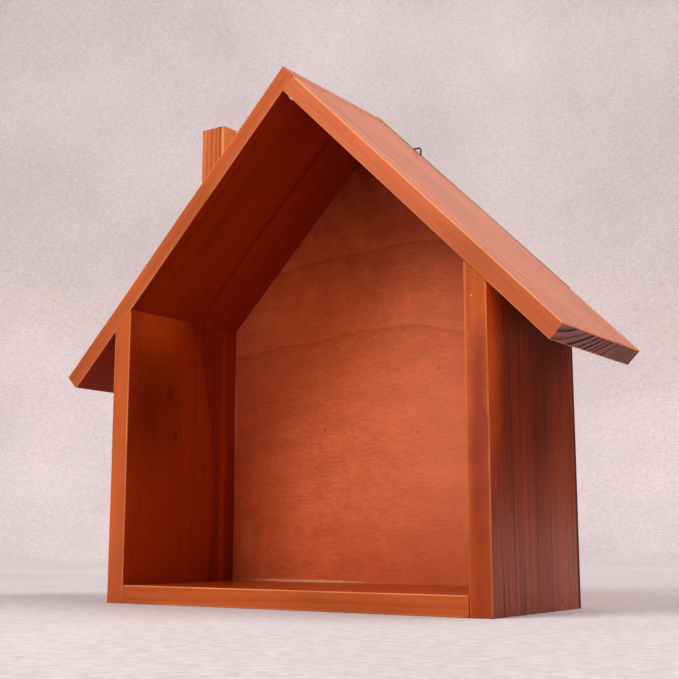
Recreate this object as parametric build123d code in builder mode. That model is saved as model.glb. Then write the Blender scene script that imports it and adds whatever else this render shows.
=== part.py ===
from build123d import *
import math
import os

os.makedirs("parts", exist_ok=True)

# House-shaped wooden box with an open front, built from planed boards.
# Millimetres. The front is towards -Y and the roof slopes down to -X and +X.
# The origin is on the underside, in the middle of the footprint.

# Boards
box_width = 360.0          # over the outer faces of the two sides
board_depth = 143.0        # front to back, the width of the planed boards
side_thickness = 18.0
floor_thickness = 15.0
roof_thickness = 15.0
back_thickness = 4.0       # plywood
eaves_height = 230.0       # height of a side's outer face, up to the roof
roof_pitch = 45.0          # degrees
roof_length = 335.0        # along the top face, from the ridge to the eave
edge_round = 1.0           # softened arrises
ridge_round = 0.6

# Chimney, a short offcut of side board standing on the left slope
chimney_width = 25.0
chimney_depth = 18.0
chimney_centre = 98.5      # to the left of the ridge
chimney_setback = 30.0     # behind the front
chimney_height = 74.3      # above the slope, at its middle
chimney_round = 1.2

# Nails
wood_clearance = 0.05      # between a fastener and its hole
nail_length = 38.0
nail_radius = 0.9
nail_head_radius = 1.6
nail_head_thickness = 1.0
nail_point = 2.5
nail_sink = 0.6            # from the surface down to the head
floor_nail_front = 18.0    # from the front to the first nail
floor_nail_back = 30.0     # from the back of the boards to the second
roof_nail_inset = 23.0
ridge_nail_length = 35.0
ridge_nail_back = 20.0
stray_nail_length = 25.0   # the front ridge nail, shorter than the others
stray_nail_inset = 6.0     # and close to the front
stray_nail_lift = 3.2      # where it starts, above the right board's underside
stray_nail_tilt = 10.2     # degrees, steep enough to break out below
chimney_nail_length = 34.0
chimney_nail_spread = 12.0
pin_length = 18.0          # panel pins that hold the plywood
pin_radius = 0.7
pin_head_radius = 1.3
pin_head_thickness = 0.8
pin_point = 1.5
pin_sink = 0.0
pins_across_floor = 4
pins_up_side = 3
pins_down_roof = 3
pin_end_margin = 25.0

# Two wall hangers, each a folded strap that holds a wire ring
hanger_spacing = 68.0      # between the centres of the straps
hanger_drop = 9.6          # from the roof's top face down to the rings' pivots
wire_radius = 0.8
pivot_clearance = 0.05
strap_sheet = 0.8
strap_width = 8.0
strap_tail = 12.0          # below the pivot
strap_fold_run = 3.2       # below the pivot, where the two layers of the fold meet
strap_wrap = 30.0          # degrees that the fold goes on round below the pivot
strap_tail_round = 3.6
ring_width = 17.4          # over the wire
ring_reach = 8.0           # from the pivot to the middle of the far bar
ring_corner = 2.2
screw_drop = 8.0           # below the pivot
screw_length = 14.0
screw_radius = 1.25
screw_head_radius = 2.5
screw_head_height = 1.6
screw_head_round = 0.96
screw_point = 3.0
recess_width = 0.8
recess_length = 3.0
recess_depth = 0.9

# Worked out from the sizes above
half_width = box_width / 2
inner_half_width = half_width - side_thickness
slope = math.radians(roof_pitch)
rise = math.tan(slope)
ridge_inner = eaves_height + half_width * rise
ridge_top = ridge_inner + roof_thickness / math.cos(slope)
total_depth = board_depth + back_thickness
front_y = -total_depth / 2
back_y = front_y + board_depth
rear_y = back_y + back_thickness
front_plane = Plane(origin=(0, front_y, 0), x_dir=(1, 0, 0), z_dir=(0, -1, 0))
back_plane = Plane(origin=(0, back_y, 0), x_dir=(1, 0, 0), z_dir=(0, -1, 0))


def under_roof(x):
    """Height of the roof's underside at x."""
    return ridge_inner - abs(x) * rise


def over_roof(x):
    """Height of the roof's top face at x."""
    return ridge_top - abs(x) * rise


def save(part, name):
    part.label = name
    export_step(part, f"parts/{name}.step")


def driven_shape(length, radius, head_radius, head_thickness, point, clearance=0.0, above=0.0):
    """A nail that points down, its head's top at the origin, or with a clearance its hole."""
    with BuildPart() as shape:
        with BuildSketch(Plane.XZ):
            with BuildLine():
                Polyline(
                    (0, above),
                    (head_radius + clearance, above),
                    (head_radius + clearance, -head_thickness - clearance),
                    (radius + clearance, -head_thickness - clearance),
                    (radius + clearance, point - length),
                    (0, -length - clearance),
                    close=True,
                )
            make_face()
        revolve(axis=Axis.Z)
    return shape.part


def nail(length, clearance=0.0, above=0.0):
    return driven_shape(length, nail_radius, nail_head_radius, nail_head_thickness,
                        nail_point, clearance, above)


def pin(clearance=0.0, above=0.0):
    return driven_shape(pin_length, pin_radius, pin_head_radius, pin_head_thickness,
                        pin_point, clearance, above)


def driven_from(x, y, z, outward, sink):
    """Where a nail's head goes when it is sunk from a surface point, against outward."""
    start = Vector(x, y, z) - Vector(*outward).normalized() * sink
    return Plane(origin=start, z_dir=outward).location


# Where the nails go -------------------------------------------------------------------

floor_nail_rows = (front_y + floor_nail_front, back_y - floor_nail_back)
floor_nail_spots = {
    side: [driven_from(side * half_width, y, floor_thickness / 2, (side, 0, 0), nail_sink)
           for y in floor_nail_rows]
    for side in (-1, 1)
}

# Roof nails go straight down into the middle of a side's thickness, so their heads
# are sunk far enough for the sloping face to clear them.
slant_sink = nail_sink + nail_head_radius * rise
roof_nail_rows = (front_y + roof_nail_inset, back_y - roof_nail_inset)
roof_nail_x = half_width - side_thickness / 2
roof_nail_spots = {
    side: [driven_from(side * roof_nail_x, y, over_roof(roof_nail_x), (0, 0, 1), slant_sink)
           for y in roof_nail_rows]
    for side in (-1, 1)
}

# Ridge nails go through the left board into the end grain of the right one.
ridge_nail_out = (-math.sin(slope), 0, math.cos(slope))


def ridge_nail_spot(down_slope, y, outward):
    return driven_from(-down_slope * math.cos(slope), y, ridge_top - down_slope * math.sin(slope),
                       outward, nail_sink)


ridge_nail_spots = [
    ridge_nail_spot(roof_thickness / 2, (front_y + back_y) / 2, ridge_nail_out),
    ridge_nail_spot(roof_thickness / 2, back_y - ridge_nail_back, ridge_nail_out),
]

# The front one was driven low and askew, so its point shows under the right board.
stray_angle = slope + math.radians(stray_nail_tilt)
stray_nail_out = (-math.cos(stray_angle), 0, math.sin(stray_angle))
stray_nail_spot = ridge_nail_spot(roof_thickness - stray_nail_lift, front_y + stray_nail_inset,
                                  stray_nail_out)

# Chimney nails go straight up through the left board from below.
chimney_y = front_y + chimney_setback + chimney_depth / 2
chimney_nail_spots = [
    driven_from(x, chimney_y, under_roof(x), (0, 0, -1), slant_sink)
    for x in (-chimney_centre - chimney_nail_spread / 2, -chimney_centre + chimney_nail_spread / 2)
]


def evenly(first, last, count):
    return [first + (last - first) * step / (count - 1) for step in range(count)]


def pin_spot(x, z):
    return driven_from(x, rear_y, z, (0, 1, 0), pin_sink)


roof_pin_drop = roof_thickness / 2 / math.cos(slope)
floor_pins = [
    pin_spot(x, floor_thickness / 2)
    for x in evenly(-inner_half_width + pin_end_margin, inner_half_width - pin_end_margin,
                    pins_across_floor)
]
side_pins = {
    side: [pin_spot(side * roof_nail_x, z)
           for z in evenly(floor_thickness + pin_end_margin, eaves_height - pin_end_margin,
                           pins_up_side)]
    for side in (-1, 1)
}
roof_pins = {
    side: [pin_spot(side * x, over_roof(x) - roof_pin_drop)
           for x in evenly(hanger_spacing / 2 + pin_end_margin, roof_nail_x - pin_end_margin,
                           pins_down_roof)]
    for side in (-1, 1)
}
all_pins = floor_pins + side_pins[-1] + side_pins[1] + roof_pins[-1] + roof_pins[1]

hole_above = 10.0          # a hole's cutter reaches this far out of the wood
nail_hole = nail(nail_length, wood_clearance, hole_above)
ridge_nail_hole = nail(ridge_nail_length, wood_clearance, hole_above)
stray_nail_hole = nail(stray_nail_length, wood_clearance, hole_above)
chimney_nail_hole = nail(chimney_nail_length, wood_clearance, hole_above)
pin_hole = pin(wood_clearance, hole_above)

# Hanger places
hanger_height = over_roof(hanger_spacing / 2) - hanger_drop
pivot_out = strap_sheet + pivot_clearance + wire_radius
strap_flat = 2 * strap_sheet
screw_y = rear_y + strap_flat + screw_head_height
hanger_sides = {"left": -1, "right": 1}
screw_spots = {
    side: Plane(origin=(side * hanger_spacing / 2, screw_y, hanger_height - screw_drop),
                z_dir=(0, 1, 0)).location
    for side in (-1, 1)
}


# Fasteners ------------------------------------------------------------------------------

one_nail = nail(nail_length)
one_ridge_nail = nail(ridge_nail_length)
one_stray_nail = nail(stray_nail_length)
one_chimney_nail = nail(chimney_nail_length)
one_pin = pin()

for side_name, side in hanger_sides.items():
    with BuildPart() as floor_nails:
        with Locations(*floor_nail_spots[side]):
            add(one_nail)
    save(floor_nails.part, f"floor_nails_{side_name}")

    with BuildPart() as roof_nails:
        with Locations(*roof_nail_spots[side]):
            add(one_nail)
    save(roof_nails.part, f"roof_nails_{side_name}")

with BuildPart() as ridge_nails:
    with Locations(*ridge_nail_spots):
        add(one_ridge_nail)
    with Locations(stray_nail_spot):
        add(one_stray_nail)
save(ridge_nails.part, "ridge_nails")

with BuildPart() as chimney_nails:
    with Locations(*chimney_nail_spots):
        add(one_chimney_nail)
save(chimney_nails.part, "chimney_nails")

with BuildPart() as back_pins:
    with Locations(*all_pins):
        add(one_pin)
save(back_pins.part, "back_panel_pins")


# Hanger screw, at the origin with the top of its pan head up ----------------------------

def screw_shape(clearance=0.0):
    shank_top = -screw_head_height
    with BuildPart() as shape:
        with BuildSketch(Plane.XZ):
            with BuildLine():
                Polyline(
                    (0, shank_top),
                    (screw_radius + clearance, shank_top),
                    (screw_radius + clearance, shank_top - screw_length + screw_point),
                    (0, shank_top - screw_length - clearance),
                    close=True,
                )
            make_face()
        revolve(axis=Axis.Z)
    return shape.part


screw_hole = screw_shape(wood_clearance)

with BuildPart() as hanger_screw:
    add(screw_shape())
    with BuildSketch(Plane.XY.offset(-screw_head_height)):
        Circle(screw_head_radius)
    extrude(amount=screw_head_height)
    head_rim = hanger_screw.edges().filter_by(GeomType.CIRCLE).group_by(Axis.Z)[-1]
    fillet(head_rim, radius=screw_head_round)
    with BuildSketch():
        Rectangle(recess_length, recess_width)
        Rectangle(recess_width, recess_length)
    extrude(amount=-recess_depth, mode=Mode.SUBTRACT)


# Boards ---------------------------------------------------------------------------------

for side_name, side in hanger_sides.items():
    with BuildPart() as side_board:
        with BuildSketch(front_plane):
            with BuildLine():
                Polyline(
                    (side * half_width, 0),
                    (side * half_width, under_roof(half_width)),
                    (side * inner_half_width, under_roof(inner_half_width)),
                    (side * inner_half_width, 0),
                    close=True,
                )
            make_face()
        extrude(amount=-board_depth)
        front_arrises = side_board.edges().filter_by(Axis.Z).group_by(Axis.Y)[0]
        fillet(front_arrises, radius=edge_round)
        with Locations(*floor_nail_spots[side], *roof_nail_spots[side]):
            add(nail_hole, mode=Mode.SUBTRACT)
        with Locations(*side_pins[side]):
            add(pin_hole, mode=Mode.SUBTRACT)
    save(side_board.part, f"side_{side_name}")

with BuildPart() as floor_board:
    with BuildSketch(front_plane):
        with Locations((0, floor_thickness / 2)):
            Rectangle(2 * inner_half_width, floor_thickness)
    extrude(amount=-board_depth)
    front_arrises = floor_board.edges().filter_by(Axis.X).group_by(Axis.Y)[0]
    fillet(front_arrises, radius=edge_round)
    with Locations(*floor_nail_spots[-1], *floor_nail_spots[1]):
        add(nail_hole, mode=Mode.SUBTRACT)
    with Locations(*floor_pins):
        add(pin_hole, mode=Mode.SUBTRACT)
save(floor_board.part, "floor_board")

# The left roof board runs on over the end of the right one, and its own end is cut off
# in line with the right board's top face.
eave_top = (roof_length * math.cos(slope), ridge_top - roof_length * math.sin(slope))
eave_under = (eave_top[0] - roof_thickness * math.sin(slope),
              eave_top[1] - roof_thickness * math.cos(slope))
lap_x = roof_thickness / math.cos(slope) / (2 * rise)
lap_z = ridge_inner + lap_x * rise

with BuildPart() as roof_left:
    with BuildSketch(front_plane):
        with BuildLine():
            Polyline(
                (0, ridge_top),
                (-eave_top[0], eave_top[1]),
                (-eave_under[0], eave_under[1]),
                (lap_x, lap_z),
                close=True,
            )
        make_face()
    extrude(amount=-board_depth)
    long_arrises = roof_left.faces().sort_by(Axis.Y)[0].edges().sort_by(SortBy.LENGTH)[-2:]
    eave_arrises = roof_left.faces().sort_by(Axis.X)[0].edges().filter_by(Axis.Y)
    fillet(long_arrises + eave_arrises, radius=edge_round)
    ridge_arris = roof_left.edges().filter_by(Axis.Y).sort_by(Axis.Z)[-1]
    fillet(ridge_arris, radius=ridge_round)
    with Locations(*roof_nail_spots[-1]):
        add(nail_hole, mode=Mode.SUBTRACT)
    with Locations(*ridge_nail_spots):
        add(ridge_nail_hole, mode=Mode.SUBTRACT)
    with Locations(stray_nail_spot):
        add(stray_nail_hole, mode=Mode.SUBTRACT)
    with Locations(*chimney_nail_spots):
        add(chimney_nail_hole, mode=Mode.SUBTRACT)
    with Locations(*roof_pins[-1]):
        add(pin_hole, mode=Mode.SUBTRACT)
    with Locations(screw_spots[-1]):
        add(screw_hole, mode=Mode.SUBTRACT)
save(roof_left.part, "roof_board_left")

with BuildPart() as roof_right:
    with BuildSketch(front_plane):
        with BuildLine():
            Polyline((0, ridge_inner), (lap_x, lap_z), eave_top, eave_under, close=True)
        make_face()
    extrude(amount=-board_depth)
    long_arrises = roof_right.faces().sort_by(Axis.Y)[0].edges().sort_by(SortBy.LENGTH)[-2:]
    eave_arrises = roof_right.faces().sort_by(Axis.X)[-1].edges().filter_by(Axis.Y)
    fillet(long_arrises + eave_arrises, radius=edge_round)
    with Locations(*roof_nail_spots[1]):
        add(nail_hole, mode=Mode.SUBTRACT)
    with Locations(*ridge_nail_spots):
        add(ridge_nail_hole, mode=Mode.SUBTRACT)
    with Locations(stray_nail_spot):
        add(stray_nail_hole, mode=Mode.SUBTRACT)
    with Locations(*roof_pins[1]):
        add(pin_hole, mode=Mode.SUBTRACT)
    with Locations(screw_spots[1]):
        add(screw_hole, mode=Mode.SUBTRACT)
save(roof_right.part, "roof_board_right")

# The plywood back covers the rear ends of the floor, the sides and the roof boards, as
# far out as the sides and as high as the roof's top faces.
with BuildPart() as back_panel:
    with BuildSketch(back_plane):
        with BuildLine():
            Polyline(
                (-half_width, 0),
                (half_width, 0),
                (half_width, over_roof(half_width)),
                (0, ridge_top),
                (-half_width, over_roof(half_width)),
                close=True,
            )
        make_face()
    extrude(amount=-back_thickness)
    with Locations(*all_pins):
        add(pin_hole, mode=Mode.SUBTRACT)
    with Locations(screw_spots[-1], screw_spots[1]):
        add(screw_hole, mode=Mode.SUBTRACT)
save(back_panel.part, "back_panel")

chimney_top = over_roof(chimney_centre) + chimney_height
chimney_left = -chimney_centre - chimney_width / 2
chimney_right = -chimney_centre + chimney_width / 2
with BuildPart() as chimney:
    with BuildSketch(front_plane.offset(-chimney_setback)):
        with BuildLine():
            Polyline(
                (chimney_left, over_roof(chimney_left)),
                (chimney_right, over_roof(chimney_right)),
                (chimney_right, chimney_top),
                (chimney_left, chimney_top),
                close=True,
            )
        make_face()
    extrude(amount=-chimney_depth)
    fillet(chimney.edges().filter_by(Axis.Z), radius=chimney_round)
    with Locations(*chimney_nail_spots):
        add(chimney_nail_hole, mode=Mode.SUBTRACT)
save(chimney.part, "chimney")


# Wall hangers ---------------------------------------------------------------------------

# A strap is folded round the ring's lower bar, and its two layers are screwed to the back.
pivot_y = rear_y + pivot_out
wrap = math.radians(strap_wrap)
for side_name, side in hanger_sides.items():
    hanger_x = side * hanger_spacing / 2
    strap_edge_plane = Plane(origin=(hanger_x - strap_width / 2, rear_y, hanger_height),
                             x_dir=(0, 1, 0), z_dir=(1, 0, 0))
    with BuildPart() as strap:
        with BuildSketch(strap_edge_plane):
            with Locations((pivot_out, 0)):
                Circle(pivot_out)
            with BuildLine():
                Polyline(
                    (0, 0),
                    (0, -strap_tail),
                    (strap_flat, -strap_tail),
                    (strap_flat, -strap_fold_run),
                    (pivot_out + pivot_out * math.cos(wrap), -pivot_out * math.sin(wrap)),
                    (pivot_out, 0),
                    close=True,
                )
            make_face()
            with Locations((pivot_out, 0)):
                Circle(wire_radius + pivot_clearance, mode=Mode.SUBTRACT)
        extrude(amount=strap_width)
        tail_corners = strap.edges().filter_by(Axis.Y).group_by(Axis.Z)[0]
        fillet(tail_corners, radius=strap_tail_round)
        with Locations(screw_spots[side]):
            add(screw_hole, mode=Mode.SUBTRACT)
    save(strap.part, f"hanger_strap_{side_name}")

    ring_half = ring_width / 2 - wire_radius
    ring_plane = Plane(origin=(hanger_x, pivot_y, hanger_height), x_dir=(1, 0, 0), z_dir=(0, -1, 0))
    with BuildPart() as ring:
        with BuildLine(ring_plane) as ring_path:
            FilletPolyline(
                (ring_half, 0),
                (ring_half, ring_reach),
                (-ring_half, ring_reach),
                (-ring_half, 0),
                radius=ring_corner,
                close=True,
            )
        ring_wire = ring_path.wires()[0]
        with BuildSketch(Plane(origin=ring_wire @ 0, z_dir=ring_wire % 0)):
            Circle(wire_radius)
        sweep(path=ring_wire)
    save(ring.part, f"hanger_ring_{side_name}")

    with BuildPart() as placed_screw:
        with Locations(screw_spots[side]):
            add(hanger_screw.part)
    save(placed_screw.part, f"hanger_screw_{side_name}")
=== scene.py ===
import math
import bmesh
import bpy
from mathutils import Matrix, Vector, noise


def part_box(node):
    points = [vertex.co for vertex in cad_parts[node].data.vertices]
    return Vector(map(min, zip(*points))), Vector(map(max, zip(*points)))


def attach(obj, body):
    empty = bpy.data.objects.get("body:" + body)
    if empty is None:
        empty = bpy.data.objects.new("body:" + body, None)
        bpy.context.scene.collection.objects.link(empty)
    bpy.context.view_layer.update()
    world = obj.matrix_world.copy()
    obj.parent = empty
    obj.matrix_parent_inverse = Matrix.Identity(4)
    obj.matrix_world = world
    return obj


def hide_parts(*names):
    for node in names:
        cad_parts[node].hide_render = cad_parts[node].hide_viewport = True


# An open-fronted wooden house, nailed up from planed boards with a thin plywood back,
# a chimney stub and two wall hangers. Metres, front towards -Y, origin under the middle.
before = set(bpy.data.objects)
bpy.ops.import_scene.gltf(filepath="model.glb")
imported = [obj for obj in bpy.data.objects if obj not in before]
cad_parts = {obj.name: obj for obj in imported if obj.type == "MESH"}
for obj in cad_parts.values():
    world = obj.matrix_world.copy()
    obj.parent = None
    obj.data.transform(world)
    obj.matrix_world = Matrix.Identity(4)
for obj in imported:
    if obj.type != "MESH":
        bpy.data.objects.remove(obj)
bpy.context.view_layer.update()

# Camera ---------------------------------------------------------------------------------
# It rests almost on the table, in front of the house and to its right, and looks up a little.
camera_data = bpy.data.cameras.new("camera")
camera_data.sensor_width = 36.0
camera_data.lens = 62.2
camera_place = (0.548, -0.7906, 0.0525)
camera_lift = math.radians(99.65)
camera_turn = math.radians(34.44)
camera = bpy.data.objects.new("camera", camera_data)
camera.location = camera_place
camera.rotation_euler = (camera_lift, 0, camera_turn)
bpy.context.scene.collection.objects.link(camera)
bpy.context.scene.camera = camera


# Studio ---------------------------------------------------------------------------------
# A round sweep of pale cotton sheeting: floor, a soft curve and a wall all the way round. Two
# big soft lights hang at the front left and high on the right, four weak ones light the wall,
# and the sky fills in.
def new_object(name, data):
    made = bpy.data.objects.new(name, data)
    bpy.context.scene.collection.objects.link(made)
    return made


def put(tree, kind, inputs=None, **settings):
    """Adds a shader node. Its inputs are values, or other nodes' sockets."""
    made = tree.nodes.new("ShaderNode" + kind)
    for name, value in settings.items():
        setattr(made, name, value)
    for name, value in (inputs or {}).items():
        if isinstance(value, bpy.types.NodeSocket):
            tree.links.new(value, made.inputs[name])
        else:
            made.inputs[name].default_value = value
    return made


def maths(tree, operation, first, second=0.0, third=0.0, clamp=False):
    return put(tree, "Math", {0: first, 1: second, 2: third},
               operation=operation, use_clamp=clamp).outputs[0]


def stretched_noise(tree, position, scale, detail=2.0, rough=0.5):
    """Noise that is drawn out: scale is how fine it is each way, per metre."""
    scaled = put(tree, "VectorMath", {0: position, 1: scale}, operation="MULTIPLY").outputs[0]
    return put(tree, "TexNoise", {"Vector": scaled, "Scale": 1.0, "Detail": detail,
                                  "Roughness": rough}).outputs[0]


def ramp(tree, factor, *stops):
    """Greys or colours against places from 0 to 1."""
    made = put(tree, "ValToRGB", {0: factor})
    elements = made.color_ramp.elements
    while len(elements) < len(stops):
        elements.new(0.5)
    for element, (place, colour) in zip(elements, stops):
        element.position = place
        element.color = (colour,) * 3 + (1,) if isinstance(colour, float) else (*colour, 1)
    return made.outputs[0]


def mixed(tree, factor, first, second):
    return put(tree, "Mix", {0: factor, 6: first, 7: second}, data_type="RGBA").outputs[2]


def new_material(name, **constants):
    """A material with its principled shader, whose constant values are set here."""
    material = bpy.data.materials.new(name)
    material.use_nodes = True
    shader = material.node_tree.nodes["Principled BSDF"]
    for socket, value in constants.items():
        shader.inputs[socket.replace("_", " ")].default_value = value
    return material, material.node_tree, shader


def connect(tree, shader, **sources):
    for socket, source in sources.items():
        tree.links.new(source, shader.inputs[socket.replace("_", " ")])


sheet_colour = (0.86, 0.785, 0.785)
sheet_shade = (0.64, 0.585, 0.58)
sheet_material, tree, shader = new_material("cotton_sheeting", Roughness=0.9,
                                            Specular_IOR_Level=0.1)
position = put(tree, "TexCoord").outputs["Object"]
cloth_cloud = stretched_noise(tree, position, (3.0, 3.0, 3.0), 4.0)
cloth_thread = stretched_noise(tree, position, (110.0, 110.0, 300.0), 3.0, 0.7)
cloth_mix = maths(tree, "MULTIPLY", cloth_cloud, 0.5)
cloth_mix = maths(tree, "MULTIPLY_ADD", cloth_thread, 0.9, cloth_mix)
cloth_tone = ramp(tree, cloth_mix, (0.5, sheet_shade), (0.9, sheet_colour))
cloth_place = put(tree, "SeparateXYZ", {0: position}).outputs
cloth_reach = put(tree, "CombineXYZ", {0: cloth_place["X"], 1: cloth_place["Y"]}).outputs[0]
cloth_reach = put(tree, "VectorMath", {0: cloth_reach}, operation="LENGTH").outputs["Value"]
# Painted shade: the sheeting is darker near the middle of the floor and a little darker high on the
# wall.
painted_shade_reach = 2.0
painted_shade_lift = 1.16
painted_shade_near_middle = ramp(tree, maths(tree, "DIVIDE", cloth_reach, painted_shade_reach), (0.25, 0.69), (0.75, 1.0))
painted_shade_up_wall = ramp(tree, cloth_place["Z"], (0.3, 1.0), (0.9, 0.88))
painted_shade_value = maths(tree, "MULTIPLY", maths(tree, "MULTIPLY", painted_shade_near_middle, painted_shade_up_wall), painted_shade_lift)
cloth_tone = put(tree, "HueSaturation", {"Color": cloth_tone, "Value": painted_shade_value}).outputs[0]
cloth_relief = maths(tree, "MULTIPLY_ADD", cloth_thread, 0.3, cloth_cloud)
cloth_bump = put(tree, "Bump", {"Strength": 0.12, "Distance": 0.003, "Height": cloth_relief})
connect(tree, shader, Base_Color=cloth_tone, Normal=cloth_bump.outputs[0])

sweep_floor_radius = 1.7
sweep_bend = 0.6
sweep_height = 3.2
sweep_sides = 96
bend_points = 12
profile = [(0.0, 0.0), (sweep_floor_radius, 0.0)]
for step in range(1, bend_points + 1):
    turn = math.pi / 2 * step / bend_points
    profile.append((sweep_floor_radius + sweep_bend * math.sin(turn),
                    sweep_bend * (1 - math.cos(turn))))
profile.append((sweep_floor_radius + sweep_bend, sweep_height))
bm = bmesh.new()
ring = [bm.verts.new((x, 0, z)) for x, z in profile]
edges = [bm.edges.new(pair) for pair in zip(ring, ring[1:])]
bmesh.ops.spin(bm, geom=ring + edges, cent=(0, 0, 0), axis=(0, 0, 1), angle=2 * math.pi,
               steps=sweep_sides, use_merge=True)
bmesh.ops.remove_doubles(bm, verts=bm.verts, dist=1e-5)
bmesh.ops.recalc_face_normals(bm, faces=bm.faces)
for face in bm.faces:
    face.smooth = True
sheeting_mesh = bpy.data.meshes.new("sheeting")
bm.to_mesh(sheeting_mesh)
bm.free()
sheeting_mesh.materials.append(sheet_material)
sheeting = new_object("sheeting", sheeting_mesh)

# A curved dark card stands off to the back right, so that the right side's varnish doesn't
# mirror the pale wall. It is seen in reflections only.
card_material, tree, shader = new_material("dark_card", Roughness=0.9, Specular_IOR_Level=0.1)
card_fleck = stretched_noise(tree, put(tree, "TexCoord").outputs["Object"], (400, 400, 400), 2.0)
connect(tree, shader, Base_Color=ramp(tree, card_fleck, (0.3, (0.05, 0.03, 0.03)),
                                      (0.7, (0.08, 0.05, 0.05))))
card_reach = 1.9
card_foot, card_head = 0.1, 2.6
card_start = math.radians(112)
card_turn = math.radians(57)
card_panels = 19
bm = bmesh.new()
card_x = card_reach * math.sin(card_start)
card_y = -card_reach * math.cos(card_start)
card_side = [bm.verts.new((card_x, card_y, z)) for z in (card_head, card_foot)]
bmesh.ops.spin(bm, geom=card_side + [bm.edges.new(card_side)], cent=(0, 0, 0), axis=(0, 0, 1),
               angle=card_turn, steps=card_panels)
for face in bm.faces:
    face.smooth = True
card_mesh = bpy.data.meshes.new("dark_card")
bm.to_mesh(card_mesh)
bm.free()
card_mesh.materials.append(card_material)
card = new_object("dark_card", card_mesh)
card.visible_camera = card.visible_shadow = card.visible_diffuse = False


def soft_light(name, size, watts, place, backwards):
    """A square softbox whose back faces backwards. The camera doesn't see it."""
    light_data = bpy.data.lights.new(name, "AREA")
    light_data.shape = "SQUARE"
    light_data.size = size
    light_data.energy = watts
    light = new_object(name, light_data)
    light.location = place
    light.rotation_euler = backwards.to_track_quat("Z", "Y").to_euler()
    light.visible_camera = False


light_target = Vector((0, 0, 0.2))
softboxes = {
    "key_light": dict(azimuth=-22, elevation=47, distance=1.7, size=0.75, watts=17.5),
    "top_light": dict(azimuth=105, elevation=57, distance=1.8, size=0.9, watts=18),
}
for name, box in softboxes.items():
    azimuth = math.radians(box["azimuth"])
    elevation = math.radians(box["elevation"])
    towards = Vector((math.sin(azimuth) * math.cos(elevation),
                      -math.cos(azimuth) * math.cos(elevation), math.sin(elevation)))
    soft_light(name, box["size"], box["watts"], light_target + towards * box["distance"], towards)

wall_light_size = 1.0
wall_light_out = 0.9
wall_light_height = Vector((0, 0, 2.1))
wall_light_dip = Vector((0, 0, 1.1))
wall_lights = {
    "wall_light_left": dict(way=-34, watts=7.0),
    "wall_light_back": dict(way=40, watts=1.0),
    "wall_light_right": dict(way=140, watts=1.3),
    "wall_light_front": dict(way=215, watts=1.4),
}
for name, lamp in wall_lights.items():
    way = math.radians(lamp["way"])
    outwards = Vector((math.sin(way), math.cos(way), 0))
    soft_light(name, wall_light_size, lamp["watts"],
               outwards * wall_light_out + wall_light_height, wall_light_dip - outwards)

world = bpy.data.worlds.new("studio_sky")
world.use_nodes = True
sky = world.node_tree.nodes["Background"]
sky_colour = (1.0, 0.96, 0.96, 1)
sky_strength = 0.08
sky.inputs["Color"].default_value = sky_colour
sky.inputs["Strength"].default_value = sky_strength
bpy.context.scene.world = world
bpy.context.scene.view_settings.view_transform = "Standard"
bpy.context.scene.view_settings.look = "Medium High Contrast"


# Stained pine ---------------------------------------------------------------------------
# Every board is planed pine, rubbed with a red-orange stain and varnished to a satin gloss.
# The figure is a solid one: growth rings round the tree's pith, which lies along the board,
# so a board's faces show streaks and its ends show arcs.
def new_group(name, inputs, outputs):
    group = bpy.data.node_groups.new(name, "ShaderNodeTree")
    for direction, sockets in (("INPUT", inputs), ("OUTPUT", outputs)):
        for socket, kind in sockets.items():
            group.interface.new_socket(socket, in_out=direction, socket_type="NodeSocket" + kind)
    given = group.nodes.new("NodeGroupInput").outputs
    result = group.nodes.new("NodeGroupOutput").inputs
    return group, given, result


pine_figure, given, result = new_group(
    "pine_figure",
    {"Position": "Vector", "Arris": "Float", "Light Wood": "Color", "Dark Wood": "Color",
     "Bare Wood": "Color", "Ring Spacing": "Float", "Tightening": "Float", "Wander": "Float",
     "Rings": "Float", "Streaks": "Float", "Clouds": "Float"},
    {"Colour": "Color", "Roughness": "Float", "Height": "Float"},
)
across = put(pine_figure, "VectorMath", {0: given["Position"], 1: (1, 1, 0)}, operation="MULTIPLY")
radius = put(pine_figure, "VectorMath", {0: across.outputs[0]}, operation="LENGTH").outputs["Value"]
slow = stretched_noise(pine_figure, given["Position"], (13, 13, 2.4))
quick = stretched_noise(pine_figure, given["Position"], (75, 75, 8))
wobble = maths(pine_figure, "MULTIPLY_ADD", quick, 0.12, slow)
wobble = maths(pine_figure, "SUBTRACT", wobble, 0.56)
radius = maths(pine_figure, "MULTIPLY_ADD", wobble, given["Wander"], radius)
grown = maths(pine_figure, "EXPONENT", maths(pine_figure, "MULTIPLY", radius, given["Tightening"]))
spread = maths(pine_figure, "MULTIPLY", given["Ring Spacing"], given["Tightening"])
ring_count = maths(pine_figure, "DIVIDE", grown, spread)
ring_part = maths(pine_figure, "FRACT", ring_count)
ring_number = maths(pine_figure, "FLOOR", ring_count)
late_wood = ramp(pine_figure, ring_part,
                 (0.0, 0.05), (0.45, 0.18), (0.85, 1.0), (0.94, 0.9), (1.0, 0.05))
one_ring = put(pine_figure, "TexWhiteNoise", {"W": ring_number}, noise_dimensions="1D")
ring_weight = maths(pine_figure, "MULTIPLY_ADD", one_ring.outputs["Value"], 0.65, 0.35)
rings = maths(pine_figure, "MULTIPLY", late_wood, ring_weight)
rings = maths(pine_figure, "MULTIPLY", rings, given["Rings"])
fibres = stretched_noise(pine_figure, given["Position"], (1100, 1100, 24), 3.0, 0.6)
streaks = stretched_noise(pine_figure, given["Position"], (230, 230, 3.5), 3.0, 0.6)
streaks = ramp(pine_figure, streaks, (0.48, 0.0), (0.72, 1.0))
clouds = stretched_noise(pine_figure, given["Position"], (18, 18, 6), 3.0, 0.55)
darkness = maths(pine_figure, "MULTIPLY_ADD", streaks, given["Streaks"], rings)
fibre_tone = maths(pine_figure, "SUBTRACT", fibres, 0.5)
darkness = maths(pine_figure, "MULTIPLY_ADD", fibre_tone, 0.5, darkness)
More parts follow.
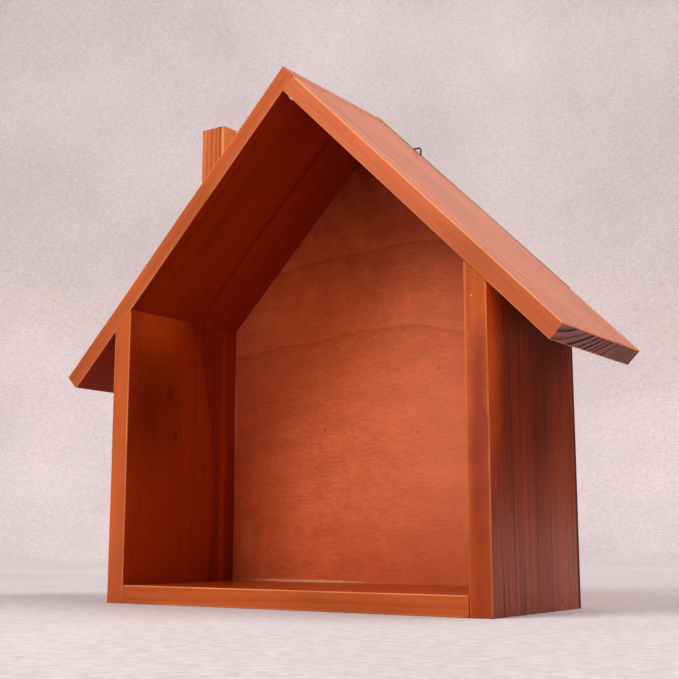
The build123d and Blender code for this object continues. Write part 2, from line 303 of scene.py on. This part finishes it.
darkness = maths(pine_figure, "ADD", darkness, 0.0, clamp=True)
wood = mixed(pine_figure, darkness, given["Light Wood"], given["Dark Wood"])
cloud_tone = maths(pine_figure, "MULTIPLY_ADD", maths(pine_figure, "SUBTRACT", clouds, 0.5),
                   given["Clouds"], 1.0)
wood = put(pine_figure, "HueSaturation", {"Color": wood, "Value": cloud_tone}).outputs[0]
worn = ramp(pine_figure, clouds, (0.3, 0.3), (0.6, 1.0))
worn = maths(pine_figure, "MULTIPLY", given["Arris"], worn)
pine_figure.links.new(mixed(pine_figure, worn, wood, given["Bare Wood"]), result["Colour"])
sheen = maths(pine_figure, "MULTIPLY_ADD", fibres, 0.16, 0.2)
sheen = maths(pine_figure, "MULTIPLY_ADD", streaks, 0.08, sheen)
pine_figure.links.new(sheen, result["Roughness"])
relief = maths(pine_figure, "MULTIPLY_ADD", fibres, 0.6, late_wood)
relief = maths(pine_figure, "SUBTRACT", relief, streaks)
pine_figure.links.new(relief, result["Height"])

# Where the stain took lighter or darker, and where light, shade and sheen are painted: round or
# long patches with a soft or a crisp rim.
stain_and_light_patch, given, result = new_group(
    "stain_and_light_patch",
    {"Position": "Vector", "Colour": "Color", "Centre": "Vector", "Reach": "Vector",
     "Patch Colour": "Color", "Strength": "Float", "Softness": "Float", "Raggedness": "Float"},
    {"Colour": "Color"},
)
away = put(stain_and_light_patch, "VectorMath", {0: given["Position"], 1: given["Centre"]},
           operation="SUBTRACT").outputs[0]
away = put(stain_and_light_patch, "VectorMath", {0: away, 1: given["Reach"]}, operation="DIVIDE").outputs[0]
away = put(stain_and_light_patch, "VectorMath", {0: away}, operation="LENGTH").outputs["Value"]
ragged = stretched_noise(stain_and_light_patch, given["Position"], (60, 60, 40), 4.0, 0.6)
ragged = maths(stain_and_light_patch, "SUBTRACT", ragged, 0.5)
ragged = maths(stain_and_light_patch, "MULTIPLY", ragged, given["Raggedness"])
inside = maths(stain_and_light_patch, "SUBTRACT", maths(stain_and_light_patch, "SUBTRACT", 1.0, away), ragged)
inside = maths(stain_and_light_patch, "DIVIDE", inside, given["Softness"], clamp=True)
inside = maths(stain_and_light_patch, "MULTIPLY", inside, given["Strength"])
stain_and_light_patch.links.new(mixed(stain_and_light_patch, inside, given["Colour"], given["Patch Colour"]),
                      result["Colour"])


def patched(tree, colour, patches):
    """Lays each patch over a colour. A patch is its centre, reach, colour and how it fades."""
    position = put(tree, "TexCoord").outputs["Object"]
    for patch in patches:
        laid = put(tree, "Group", node_tree=stain_and_light_patch)
        tree.links.new(position, laid.inputs["Position"])
        tree.links.new(colour, laid.inputs["Colour"])
        laid.inputs["Centre"].default_value = patch["centre"]
        laid.inputs["Reach"].default_value = patch["reach"]
        laid.inputs["Patch Colour"].default_value = (*patch["colour"], 1)
        laid.inputs["Strength"].default_value = patch.get("strength", 0.6)
        laid.inputs["Softness"].default_value = patch.get("softness", 0.7)
        laid.inputs["Raggedness"].default_value = patch.get("raggedness", 0.5)
        colour = laid.outputs["Colour"]
    return colour


pine_light = (0.44, 0.075, 0.012)
pine_dark = (0.17, 0.018, 0.003)
pine_bare = (0.85, 0.34, 0.13)
grain_relief = 0.25
grain_depth = 0.0004
varnish_share = 0.4
varnish_roughness = 0.16
edge_wood = dict(light=(0.58, 0.14, 0.036), dark=(0.36, 0.06, 0.014), rings=0.3, streaks=0.12,
                 clouds=1.0, gloss=0.15)
end_wood = dict(light=(0.28, 0.06, 0.018), dark=(0.12, 0.02, 0.008), gloss=0.1)


def stained_pine(name, turn, pith, spacing=0.005, tightening=2.0, wander=0.012, rings=0.6,
                 streaks=0.4, clouds=0.5, light=pine_light, dark=pine_dark, gloss=0.35, patches=()):
    """Turn lays the grain along the board; pith is minus the tree's middle after the turn."""
    material, tree, shader = new_material(name, Coat_Weight=gloss * varnish_share,
                                          Coat_Roughness=varnish_roughness,
                                          Specular_IOR_Level=gloss)
    position = put(tree, "Mapping", {"Vector": put(tree, "TexCoord").outputs["Object"],
                                     "Location": pith, "Rotation": turn}).outputs[0]
    arris = put(tree, "Attribute", attribute_name="arris").outputs["Fac"]
    figure = put(tree, "Group", node_tree=pine_figure)
    tree.links.new(position, figure.inputs["Position"])
    tree.links.new(arris, figure.inputs["Arris"])
    for socket, value in {"Light Wood": (*light, 1), "Dark Wood": (*dark, 1),
                          "Bare Wood": (*pine_bare, 1), "Ring Spacing": spacing,
                          "Tightening": tightening, "Wander": wander, "Rings": rings,
                          "Streaks": streaks, "Clouds": clouds}.items():
        figure.inputs[socket].default_value = value
    bump = put(tree, "Bump", {"Strength": grain_relief, "Distance": grain_depth,
                              "Height": figure.outputs["Height"]}).outputs[0]
    connect(tree, shader, Base_Color=patched(tree, figure.outputs["Colour"], patches),
            Roughness=figure.outputs["Roughness"], Normal=bump)
    return material


# Boards ---------------------------------------------------------------------------------
# How any board is made: its outline is carried from front to back, its arrises are rounded,
# cuts across it make room for unevenness, and rubbing down wears it, always inwards.
def board(outline, front, back):
    """A solid with this outline in x and z."""
    bm = bmesh.new()
    face = bm.faces.new([bm.verts.new((x, front, z)) for x, z in outline])
    grown = bmesh.ops.extrude_face_region(bm, geom=[face])["geom"]
    bmesh.ops.translate(bm, verts=[g for g in grown if isinstance(g, bmesh.types.BMVert)],
                        vec=(0, back - front, 0))
    bmesh.ops.recalc_face_normals(bm, faces=bm.faces)
    return bm


def edges_through(bm, *points):
    """The edges whose middles are at these points."""
    found = []
    for edge in bm.edges:
        middle = (edge.verts[0].co + edge.verts[1].co) / 2
        if any((middle - Vector(point)).length < 1e-5 for point in points):
            found.append(edge)
    return found


def round_arrises(bm, edges, radius):
    bmesh.ops.bevel(bm, geom=edges, offset=radius, offset_type="OFFSET", affect="EDGES",
                    segments=4, profile=0.5, material=-1)


def ease_rest(bm):
    """Takes the sharpness off the edges that aren't rounded, so butt joints show a fine line."""
    ease = 0.0002
    bm.normal_update()
    sharp = [edge for edge in bm.edges if edge.calc_face_angle(0) > math.radians(35)]
    bmesh.ops.bevel(bm, geom=sharp, offset=ease, offset_type="OFFSET", affect="EDGES",
                    segments=1, profile=0.5, material=-1)


def spaced(first, last, gap):
    count = max(1, round((last - first) / gap))
    return [first + (last - first) * step / count for step in range(1, count)]


def cut_across(bm, direction, places):
    direction = Vector(direction)
    for place in places:
        bmesh.ops.bisect_plane(bm, geom=bm.verts[:] + bm.edges[:] + bm.faces[:], dist=1e-7,
                               plane_co=direction * place, plane_no=direction)


def rub_down(bm, seed, dip=0.00016):
    """Hand sanding leaves faces a little uneven and takes more off the rounded arrises,
    which are marked for the stain."""
    wear = 0.00022
    broad_waves, close_waves = 22, 95      # per metre
    arris = bm.verts.layers.float.new("arris")
    bm.normal_update()
    shift = Vector((seed, 2 * seed, 3 * seed))
    moves = []
    for vert in bm.verts:
        turn = math.degrees(max(edge.calc_face_angle(0) for edge in vert.link_edges))
        if turn < 40:
            vert[arris] = min(1.0, max(0.0, turn - 5) / 15)
        broad = (1 + noise.noise(vert.co * broad_waves + shift)) / 2
        close = max(0.0, noise.noise(vert.co * close_waves + shift))
        moves.append((vert, vert.normal * (dip * broad + wear * close * vert[arris])))
    for vert, move in moves:
        vert.co -= move


def punch(bm, centre, outward, radius, depth):
    """The dint that a nail punch leaves, with a flat bottom where the head shows."""
    centre = Vector(centre)
    outward = Vector(outward).normalized()
    for vert in bm.verts:
        away = vert.co - centre
        height = away.dot(outward)
        reach = (away - outward * height).length
        if abs(height) < depth and reach < radius:
            rim = min(1.0, (radius - reach) / (radius * 0.35))
            vert.co -= outward * depth * rim


def make_piece(bm, name, materials, grain=None):
    """The finished mesh. Faces across the grain take the second material, and the board's
    front edge takes the third."""
    bm.normal_update()
    for face in bm.faces:
        face.smooth = True
        if grain and abs(face.normal.dot(Vector(grain))) > 0.75:
            face.material_index = 1
        elif len(materials) == 3 and face.normal.y < -0.6:
            face.material_index = 2
    for edge in bm.edges:
        edge.smooth = edge.calc_face_angle(0) < math.radians(30)
    mesh = bpy.data.meshes.new(name)
    bm.to_mesh(mesh)
    bm.free()
    for material in materials:
        mesh.materials.append(material)
    return new_object(name, mesh)


arris_radius = 0.001
arris_flat = 0.0014        # where a face is flat again beside a rounded arris
cell_along = 0.005         # the spacing of the cuts along a board and across it
cell_across = 0.004
along_x = (0, math.radians(-90), 0)    # turns that lay a board's grain along z
along_z = (0, 0, 0)


# Floor ----------------------------------------------------------------------------------
# A planed board between the sides, with its grain from side to side. Its front arrises are
# rounded, and its ends are butted against the sides and nailed.
floor_low, floor_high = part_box("floor_board")
front, back = floor_low.y, floor_high.y
thickness = floor_high.z
end = floor_high.x
bm = board([(-end, 0), (end, 0), (end, thickness), (-end, thickness)], front, back)
round_arrises(bm, edges_through(bm, (0, front, 0), (0, front, thickness)), arris_radius)
ease_rest(bm)
cut_across(bm, (1, 0, 0), spaced(-end, end, cell_along))
cut_across(bm, (0, 1, 0), [front + arris_flat] + spaced(front + arris_flat, back, cell_across))
flats = [arris_flat, thickness - arris_flat]
cut_across(bm, (0, 0, 1), flats + spaced(*flats, cell_across))
rub_down(bm, 3)
floor_wood = dict(turn=along_x, pith=(0.05, 0.12, 0.1), spacing=0.006)
floor_face = stained_pine("floor_pine", **floor_wood)
floor_end = stained_pine("floor_end_grain", **floor_wood, **end_wood)
floor_edge = stained_pine("floor_front_edge", **floor_wood, **edge_wood)
floor_piece = make_piece(bm, "floor_plank", (floor_face, floor_end, floor_edge), grain=(1, 0, 0))
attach(floor_piece, "root")
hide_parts("floor_board")


# Sides ----------------------------------------------------------------------------------
# Two uprights with the grain standing, cut to the slope at the top. Two nails go through
# each into the floor's ends; they were punched in, so each leaves a dint with its head in it.
side_low, side_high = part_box("side_right")
inner, outer = side_low.x, side_high.x
roof_pitch = math.radians(45)
rise = math.tan(roof_pitch)
top_inner = side_high.z
top_outer = top_inner - (outer - inner) * rise
nail_radius = 0.0017
nail_sink = 0.0006
dint_cuts = [step * nail_radius / 3 for step in range(-4, 5)]
first_cut = 0.012          # above the dints, which have close cuts of their own
# A mark is stain, wear, or painted light and shade alike; all reach this deep.
mark_depth = 0.01          # how deep a mark in the stain goes, well short of the other face


def face_mark(x, y, z, reach_y, reach_z, colour, **fade):
    """A mark on a side's inner or outer face."""
    return dict(centre=(x, y, z), reach=(mark_depth, reach_y, reach_z), colour=colour, **fade)


def edge_mark(x, z, reach_x, reach_z, colour, **fade):
    """A mark on a side's front edge."""
    return dict(centre=(x, front, z), reach=(reach_x, mark_depth, reach_z), colour=colour, **fade)


# The left side: a pale tongue of sapwood with a curved rim, a warm top, two knots, a smudge
# and a pale line down the back.
left_marks = (
    face_mark(-inner, -0.048, 0.09, 0.089, 0.2, (0.62, 0.11, 0.010), strength=0.4, softness=0.04,
              raggedness=0.08),
    face_mark(-inner, -0.040, 0.245, 0.04, 0.045, (0.8, 0.18, 0.02)),
    face_mark(-inner, -0.021, 0.179, 0.006, 0.009, (0.06, 0.005, 0.001), softness=1.0),
    face_mark(-inner, -0.013, 0.142, 0.005, 0.006, (0.06, 0.005, 0.001), softness=1.0),
    face_mark(-inner, -0.045, 0.16, 0.05, 0.07, (0.10, 0.009, 0.001), softness=1.0),
    face_mark(-inner, 0.052, 0.1, 0.006, 0.22, (0.62, 0.12, 0.012)),
)
# The right side: painted light, a warm glow behind the front arris; three dark cracks at the
# foot; painted sheen, the floor's reflection, low on the rear half; painted shadow along the top
# under the eave; and a faint dark streak.
crack_colour = (0.03, 0.006, 0.003)
right_marks = (
    # Painted light: a warm orange glow behind the front arris, up under the eave.
    face_mark(outer, front, 0.2, 0.026, 0.12, (0.9, 0.16, 0.015), strength=0.8),
    face_mark(outer, -0.024, 0.02, 0.003, 0.05, crack_colour),
    face_mark(outer, -0.056, 0.02, 0.002, 0.04, crack_colour),
    face_mark(outer, 0.062, 0.055, 0.003, 0.05, crack_colour),
    # Painted sheen: the pale floor's reflection, lighter low on the rear half.
    face_mark(outer, 0.045, 0.09, 0.04, 0.16, (0.42, 0.10, 0.035), strength=0.45, softness=1.0),
    # Painted shadow: the eave's shade, dark along the top.
    face_mark(outer, 0.03, top_outer, 0.08, 0.06, (0.05, 0.006, 0.001), strength=0.65,
              softness=1.0),
    face_mark(outer, 0.018, 0.15, 0.004, 0.06, (0.06, 0.007, 0.003), strength=0.35),
)
# The right side's front edge: wear along the inner arris, a purple-brown patch, a dark foot
# and one pale speck.
right_edge_marks = (
    edge_mark(inner, 0.1, 0.004, 0.3, (0.72, 0.2, 0.04), softness=0.9),
    edge_mark(0.173, 0.13, 0.012, 0.10, (0.25, 0.038, 0.04), strength=0.65, raggedness=1.2),
    edge_mark(0.171, 0.02, 0.02, 0.12, (0.32, 0.035, 0.006), strength=0.6, softness=1.0),
    edge_mark(0.1685, 0.221, 0.0007, 0.0007, (0.9, 0.8, 0.75), strength=1.0),
)
side_woods = {
    -1: dict(pith=(0.24, 0.05, 0.3), spacing=0.016, wander=0.04, rings=0.35, streaks=0.35,
             clouds=0.9, light=(0.41, 0.055, 0.006), dark=(0.14, 0.014, 0.002), gloss=0.2,
             patches=left_marks),
    1: dict(pith=(-0.27, 0.16, 0.1), spacing=0.007, wander=0.03, rings=0.3, streaks=0.6,
            clouds=0.8, light=(0.30, 0.044, 0.008), dark=(0.075, 0.010, 0.002), gloss=0.36,
            patches=right_marks),
}
side_edge_marks = {-1: (), 1: right_edge_marks}
for side, side_name in ((-1, "left"), (1, "right")):
    nails_low, nails_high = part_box(f"floor_nails_{side_name}")
    nail_rows = (nails_low.y + nail_radius, nails_high.y - nail_radius)
    nail_height = (nails_low.z + nails_high.z) / 2
    bm = board([(side * outer, 0), (side * outer, top_outer), (side * inner, top_inner),
                (side * inner, 0)], front, back)
    round_arrises(bm, edges_through(bm, (side * outer, front, top_outer / 2),
                                    (side * inner, front, top_inner / 2)), arris_radius)
    ease_rest(bm)
    cut_across(bm, (0, 0, 1), spaced(first_cut, top_inner, cell_along)
               + [nail_height + cut for cut in dint_cuts])
    rows = [front + arris_flat] + spaced(front + arris_flat, back, cell_across)
    cut_across(bm, (0, 1, 0), rows + [row + cut for row in nail_rows for cut in dint_cuts])
    flats = [inner + arris_flat, outer - arris_flat]
    cut_across(bm, (1, 0, 0), [side * x for x in flats + spaced(*flats, cell_across)])
    rub_down(bm, 11 + side)
    for row in nail_rows:
        punch(bm, (side * outer, row, nail_height), (side, 0, 0), nail_radius, nail_sink)
    wood = side_woods[side]
    side_face = stained_pine(f"side_pine_{side_name}", along_z, **wood)
    wood = wood | dict(patches=())
    side_end = stained_pine(f"side_end_grain_{side_name}", along_z, **(wood | end_wood))
    wood = wood | edge_wood | dict(patches=side_edge_marks[side])
    side_edge = stained_pine(f"side_front_edge_{side_name}", along_z, **wood)
    side_piece = make_piece(bm, f"side_plank_{side_name}", (side_face, side_end, side_edge),
                            grain=(0, 0, 1))
    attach(side_piece, "root")
    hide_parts(f"side_{side_name}")


# Roof -----------------------------------------------------------------------------------
# Two boards with the grain down the slope. The left one laps over the end of the right one,
# and its own end is planed off in line with the right board's top. The long arrises and the
# eaves are rounded.
ridge_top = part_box("back_panel")[1].z
lap_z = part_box("roof_board_right")[1].z
lap_x = (ridge_top - lap_z) / rise
roof_thickness = 2 * lap_x * math.sin(roof_pitch)
ridge_inner = ridge_top - roof_thickness / math.cos(roof_pitch)
roof_length = 0.335
eave_x = roof_length * math.cos(roof_pitch)
eave_z = ridge_top - roof_length * math.sin(roof_pitch)
under_x = eave_x - roof_thickness * math.sin(roof_pitch)
under_z = eave_z - roof_thickness * math.cos(roof_pitch)


def between(first, second, y):
    return ((first[0] + second[0]) / 2, y, (first[1] + second[1]) / 2)


middle = (front + back) / 2
roof_outlines = {
    -1: [(0, ridge_top), (-eave_x, eave_z), (-under_x, under_z), (lap_x, lap_z)],
    1: [(lap_x, lap_z), (eave_x, eave_z), (under_x, under_z), (0, ridge_inner)],
}
ring_axis = ridge_top * math.cos(roof_pitch)
# The right board's eave end: its pale grey-pink rings are partly painted sheen, the pale floor's
# reflection laid into the colour, with the gloss almost off.
roof_end_grain_and_sheen = {-1: end_wood | dict(light=(0.52, 0.16, 0.07), dark=(0.28, 0.07, 0.03)),
                  1: dict(light=(0.36, 0.155, 0.135), dark=(0.035, 0.010, 0.008), rings=1.6,
                          streaks=0.0, clouds=0.3, gloss=0.03)}
roof_edge_woods = {-1: edge_wood | dict(light=(0.52, 0.135, 0.042)),
                   1: edge_wood | dict(light=(0.60, 0.17, 0.068), dark=(0.42, 0.09, 0.036))}
roof_woods = {
    -1: dict(turn=(0, math.radians(135), 0), pith=(-ring_axis - 0.06, 0.02, 0.2), spacing=0.009,
             wander=0.03, rings=0.35, streaks=0.25, gloss=0.12,
             light=(0.38, 0.045, 0.005), dark=(0.13, 0.011, 0.0015)),
    1: dict(turn=(0, math.radians(-135), 0), pith=(ring_axis + 0.115, -front + 0.02, 0.0),
            spacing=0.0315, tightening=12.0, wander=0.008, rings=0.35, streaks=0.25,
            light=(0.60, 0.17, 0.065), dark=(0.32, 0.07, 0.03)),
}
for side, side_name in ((-1, "left"), (1, "right")):
    outline = roof_outlines[side]
    bm = board(outline, front, back)
    top_arris = (outline[0], outline[1])
    under_arris = (outline[2], outline[3])
    arrises = edges_through(bm, between(*top_arris, front), between(*top_arris, back),
                            between(*under_arris, front), between(*under_arris, back),
                            (side * eave_x, middle, eave_z), (side * under_x, middle, under_z))
    round_arrises(bm, arrises, arris_radius)
    ease_rest(bm)
    slope_way = Vector((side * math.cos(roof_pitch), 0, -math.sin(roof_pitch)))
    start = slope_way.dot(Vector((outline[3][0], 0, outline[3][1])))
    finish = slope_way.dot(Vector((side * eave_x, 0, eave_z)))
    finish -= arris_flat
    cut_across(bm, slope_way, [finish] + spaced(start, finish, cell_along))
    flats = [front + arris_flat, back - arris_flat]
    cut_across(bm, (0, 1, 0), flats + spaced(*flats, cell_across))
    thick_way = Vector((side * math.sin(roof_pitch), 0, math.cos(roof_pitch)))
    flats = [ring_axis - roof_thickness + arris_flat, ring_axis - arris_flat]
    cut_across(bm, thick_way, flats + spaced(*flats, cell_across))
    rub_down(bm, 21 + side)
    wood = roof_woods[side]
    roof_face = stained_pine(f"roof_pine_{side_name}", **wood)
    roof_end = stained_pine(f"roof_end_grain_{side_name}", **(wood | roof_end_grain_and_sheen[side]))
    roof_edge = stained_pine(f"roof_front_edge_{side_name}", **(wood | roof_edge_woods[side]))
    roof_piece = make_piece(bm, f"roof_plank_{side_name}", (roof_face, roof_end, roof_edge),
                            grain=slope_way)
    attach(roof_piece, "root")
    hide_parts(f"roof_board_{side_name}")


# Chimney --------------------------------------------------------------------------------
# A short offcut standing on the left slope, its foot cut to the slope and nailed from below.
stack_low, stack_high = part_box("chimney")
stack_radius = 0.0012


def over_roof(x):
    return ridge_top - abs(x) * rise


bm = board([(stack_low.x, over_roof(stack_low.x)), (stack_high.x, over_roof(stack_high.x)),
            (stack_high.x, stack_high.z), (stack_low.x, stack_high.z)], stack_low.y, stack_high.y)
corners = [(x, y, (over_roof(x) + stack_high.z) / 2)
           for x in (stack_low.x, stack_high.x) for y in (stack_low.y, stack_high.y)]
round_arrises(bm, edges_through(bm, *corners), stack_radius)
ease_rest(bm)
top_flat = 0.001
cut_across(bm, (0, 0, 1), spaced(stack_low.z, stack_high.z - top_flat, cell_along))
stack_spans = (((1, 0, 0), stack_low.x, stack_high.x), ((0, 1, 0), stack_low.y, stack_high.y))
for way, low, high in stack_spans:
    cut_across(bm, way, spaced(low + stack_radius, high - stack_radius, cell_across))
rub_down(bm, 31)
stack_wood = dict(turn=along_z, pith=(0.19, 0.12, 0.4), spacing=0.0045, wander=0.006, rings=0.85,
                  light=(0.68, 0.20, 0.065), dark=(0.22, 0.040, 0.013), gloss=0.2)
# Painted light: the right face is laid over with pale orange, as if lit more strongly from the
# right.
painted_light_right_face = dict(centre=(stack_high.x, 0, stack_high.z), reach=(0.004, 0.3, 0.3),
                       colour=(0.96, 0.37, 0.13), strength=0.65, raggedness=0.3)
stack_face = stained_pine("chimney_pine", patches=(painted_light_right_face,), **stack_wood)
stack_end = stained_pine("chimney_end_grain", **(stack_wood | end_wood))
stack = make_piece(bm, "chimney_stub", (stack_face, stack_end), grain=(0, 0, 1))
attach(stack, "root")
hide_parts("chimney")


# Back -----------------------------------------------------------------------------------
# Three-ply sheet with the face veneer's grain level, pinned on behind everything. The
# veneer was peeled off a turning log, which leaves wide level contours and short dark pores.
ply_low, ply_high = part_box("back_panel")
ply_figure, given, result = new_group(
    "veneer_figure",
    {"Position": "Vector", "Light Wood": "Color", "Dark Wood": "Color", "Contour Gap": "Float",
     "First Contour": "Float"},
    {"Colour": "Color", "Roughness": "Float", "Height": "Float"},
)
parts = put(ply_figure, "SeparateXYZ", {0: given["Position"]}).outputs
drift = stretched_noise(ply_figure, given["Position"], (4, 4, 6), 2.0, 0.4)
field = maths(ply_figure, "SUBTRACT", drift, 0.5)
field = maths(ply_figure, "MULTIPLY_ADD", field, 0.1, parts["Z"])
field = maths(ply_figure, "SUBTRACT", field, given["First Contour"])
contour_count = maths(ply_figure, "DIVIDE", field, given["Contour Gap"])
contour = ramp(ply_figure, maths(ply_figure, "FRACT", contour_count),
               (0.0, 0.0), (0.6, 0.04), (0.92, 0.2), (0.98, 0.5), (1.0, 0.0))
pores = stretched_noise(ply_figure, given["Position"], (170, 170, 1800), 3.0, 0.6)
pores = ramp(ply_figure, pores, (0.52, 0.0), (0.70, 1.0))
mottle = stretched_noise(ply_figure, given["Position"], (26, 26, 60), 4.0, 0.6)
fine = stretched_noise(ply_figure, given["Position"], (100, 100, 480), 3.0, 0.75)
faded = put(ply_figure, "MapRange", {"Value": parts["Z"], "From Min": 0.15, "From Max": 0.25,
                                     "To Min": 0.08, "To Max": 0.75}).outputs[0]
darkness = maths(ply_figure, "MULTIPLY", contour, faded)
darkness = maths(ply_figure, "MULTIPLY_ADD", pores, 0.3, darkness)
fleck = maths(ply_figure, "SUBTRACT", fine, 0.5)
darkness = maths(ply_figure, "MULTIPLY_ADD", fleck, 0.9, darkness)
darkness = maths(ply_figure, "ADD", darkness, 0.05, clamp=True)
veneer = mixed(ply_figure, darkness, given["Light Wood"], given["Dark Wood"])
mottle_tone = maths(ply_figure, "MULTIPLY_ADD", mottle, 0.5, 0.75)
veneer = put(ply_figure, "HueSaturation", {"Color": veneer, "Value": mottle_tone}).outputs[0]
ply_figure.links.new(veneer, result["Colour"])
ply_figure.links.new(maths(ply_figure, "MULTIPLY_ADD", fine, 0.2, 0.28), result["Roughness"])
ply_figure.links.new(maths(ply_figure, "SUBTRACT", 1.0, pores), result["Height"])


def stained_veneer(name, light, dark, contour_gap, first_contour, patches):
    material, tree, shader = new_material(name, Coat_Weight=0.03, Coat_Roughness=0.2,
                                          Specular_IOR_Level=0.15)
    figure = put(tree, "Group", node_tree=ply_figure)
    tree.links.new(put(tree, "TexCoord").outputs["Object"], figure.inputs["Position"])
    figure.inputs["Light Wood"].default_value = (*light, 1)
    figure.inputs["Dark Wood"].default_value = (*dark, 1)
    figure.inputs["Contour Gap"].default_value = contour_gap
    figure.inputs["First Contour"].default_value = first_contour
    bump = put(tree, "Bump", {"Strength": 0.25, "Distance": 0.0003,
                              "Height": figure.outputs["Height"]}).outputs[0]
    connect(tree, shader, Base_Color=patched(tree, figure.outputs["Colour"], patches),
            Roughness=figure.outputs["Roughness"], Normal=bump)
    return material


ply_y = ply_low.y
# A mark on the sheet is stain or painted light and shade alike.
veneer_depth = 0.003       # a mark in the stain stays out of the sheet's rear face
knot_places = ((0.0607, 0.1955), (0.0393, 0.1422), (-0.0574, 0.1489), (-0.0444, 0.2214))


def veneer_mark(x, z, reach_x, reach_z, colour, **fade):
    """A mark on the sheet's front face."""
    return dict(centre=(x, ply_y, z), reach=(reach_x, veneer_depth, reach_z), colour=colour, **fade)


# Small knots; then the stain, warm at the upper left; painted shadow under the ridge; painted
# light and sheen, pink to the right; painted shade, red to the left; darker along the foot; two
# pale smudges; and dried glue along the floor and up the left joint.
veneer_marks = [veneer_mark(x, z, 0.002, 0.0016, (0.12, 0.016, 0.006)) for x, z in knot_places]
veneer_marks += [
    veneer_mark(-0.07, 0.28, 0.13, 0.15, (0.66, 0.14, 0.012), strength=0.5, softness=1.0),
    # Painted shadow: dark under the ridge, where the roof shades the sheet.
    veneer_mark(-0.01, 0.415, 0.2, 0.18, (0.16, 0.012, 0.001), strength=1.0, softness=1.0),
    # Painted light and sheen: pinker and lighter to the right.
    veneer_mark(0.14, 0.13, 0.18, 0.24, (0.75, 0.27, 0.15), strength=0.6, softness=1.0),
    # Painted shade: redder and darker to the left, where the left side shades the sheet.
    veneer_mark(-0.17, 0.10, 0.09, 0.20, (0.50, 0.06, 0.010), strength=0.5, softness=1.0),
    veneer_mark(0.0, 0.0, 0.3, 0.10, (0.45, 0.07, 0.018), strength=0.5, softness=1.0),
    veneer_mark(-0.128, 0.258, 0.016, 0.010, (0.8, 0.3, 0.1), strength=0.35),
    veneer_mark(-0.145, 0.052, 0.010, 0.020, (0.8, 0.3, 0.1), strength=0.35),
    veneer_mark(-0.08, 0.0155, 0.084, 0.0022, (0.85, 0.5, 0.25), strength=0.9, raggedness=1.2),
    veneer_mark(-0.1615, 0.17, 0.0016, 0.056, (0.8, 0.4, 0.2), strength=0.8, raggedness=1.0),
]
ply_face = stained_veneer("stained_veneer", (0.84, 0.23, 0.096), (0.26, 0.038, 0.011),
                          contour_gap=0.0765, first_contour=0.2205, patches=veneer_marks)
ply_edge, tree, shader = new_material("plywood_edge", Coat_Weight=0.1, Coat_Roughness=0.3)
position = put(tree, "TexCoord").outputs["Object"]
edge_y = put(tree, "SeparateXYZ", {0: position}).outputs["Y"]
layer = maths(tree, "DIVIDE", maths(tree, "SUBTRACT", edge_y, ply_low.y), ply_high.y - ply_low.y)
torn = stretched_noise(tree, position, (600, 600, 600), 2.0)
outer_ply = (0.10, 0.02, 0.01)
inner_ply = (0.035, 0.012, 0.01)
layers = ramp(tree, layer, (0.0, outer_ply), (0.3, outer_ply), (0.34, inner_ply), (0.66, inner_ply),
              (0.7, outer_ply))
edge_tone = maths(tree, "MULTIPLY_ADD", torn, 1.2, 0.4)
edge_colour = put(tree, "HueSaturation", {"Color": layers, "Value": edge_tone}).outputs[0]
edge_bump = put(tree, "Bump", {"Strength": 0.5, "Distance": 0.0004, "Height": torn}).outputs[0]
connect(tree, shader, Base_Color=edge_colour, Normal=edge_bump,
        Roughness=maths(tree, "MULTIPLY_ADD", torn, 0.3, 0.45))

half = ply_high.x
ply_eave = over_roof(half)
bm = board([(-half, 0), (half, 0), (half, ply_eave), (0, ridge_top), (-half, ply_eave)],
           ply_low.y, ply_high.y)
cut_across(bm, (1, 0, 0), spaced(-half, half, cell_along))
cut_across(bm, (0, 0, 1), spaced(0, ridge_top, cell_along))
ply_dip = 0.0003
rub_down(bm, 41, dip=ply_dip)
back_piece = make_piece(bm, "plywood_sheet", (ply_face, ply_edge))
for polygon in back_piece.data.polygons:
    if abs(polygon.normal.y) < 0.5:
        polygon.material_index = 1
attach(back_piece, "root")
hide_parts("back_panel")


# Nails and pins -------------------------------------------------------------------------
# Plain steel wire nails and panel pins, driven in before the wood was stained, so stain and
# varnish have dulled their heads. The ridge nails, one of which broke out, stayed bare; their
# near-white, barely metallic colour is a painted glint.
def worn_steel(name, metal, stain, gloss, shine=0.85):
    material, tree, shader = new_material(name, Metallic=shine)
    position = put(tree, "TexCoord").outputs["Object"]
    smudge = stretched_noise(tree, position, (700, 700, 700), 3.0, 0.6)
    tone = ramp(tree, smudge, (0.4, stain), (0.62, metal))
    bump = put(tree, "Bump", {"Strength": 0.3, "Distance": 0.0001, "Height": smudge}).outputs[0]
    connect(tree, shader, Base_Color=tone, Normal=bump,
            Roughness=maths(tree, "MULTIPLY_ADD", smudge, 0.25, gloss))
    return material


nail_material = worn_steel("stained_nail_steel", (0.35, 0.28, 0.24), (0.05, 0.02, 0.012), 0.3)
# Painted glint: the bare ridge nails are near white and barely metallic, so they read bright even
# in shade.
bare_steel_painted_glint = worn_steel("bare_nail_steel_painted_glint", (0.95, 0.93, 0.90), (0.7, 0.62, 0.58), 0.25,
                             shine=0.3)
nail_nodes = ["floor_nails_left", "floor_nails_right", "roof_nails_left", "roof_nails_right",
              "chimney_nails", "back_panel_pins"]
for name in nail_nodes:
    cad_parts[name].material_slots[0].material = nail_material
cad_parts["ridge_nails"].material_slots[0].material = bare_steel_painted_glint


# Wall hangers ---------------------------------------------------------------------------
# A folded strap of plated steel holds each wire ring, with one cross-head screw into the
# back. The ring stands up past the roof's rear edge.
hanger_material = worn_steel("plated_hanger_steel", (0.16, 0.13, 0.13), (0.05, 0.035, 0.035), 0.35)
for part in ("strap", "ring", "screw"):
    for side_name in ("left", "right"):
        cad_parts[f"hanger_{part}_{side_name}"].material_slots[0].material = hanger_material
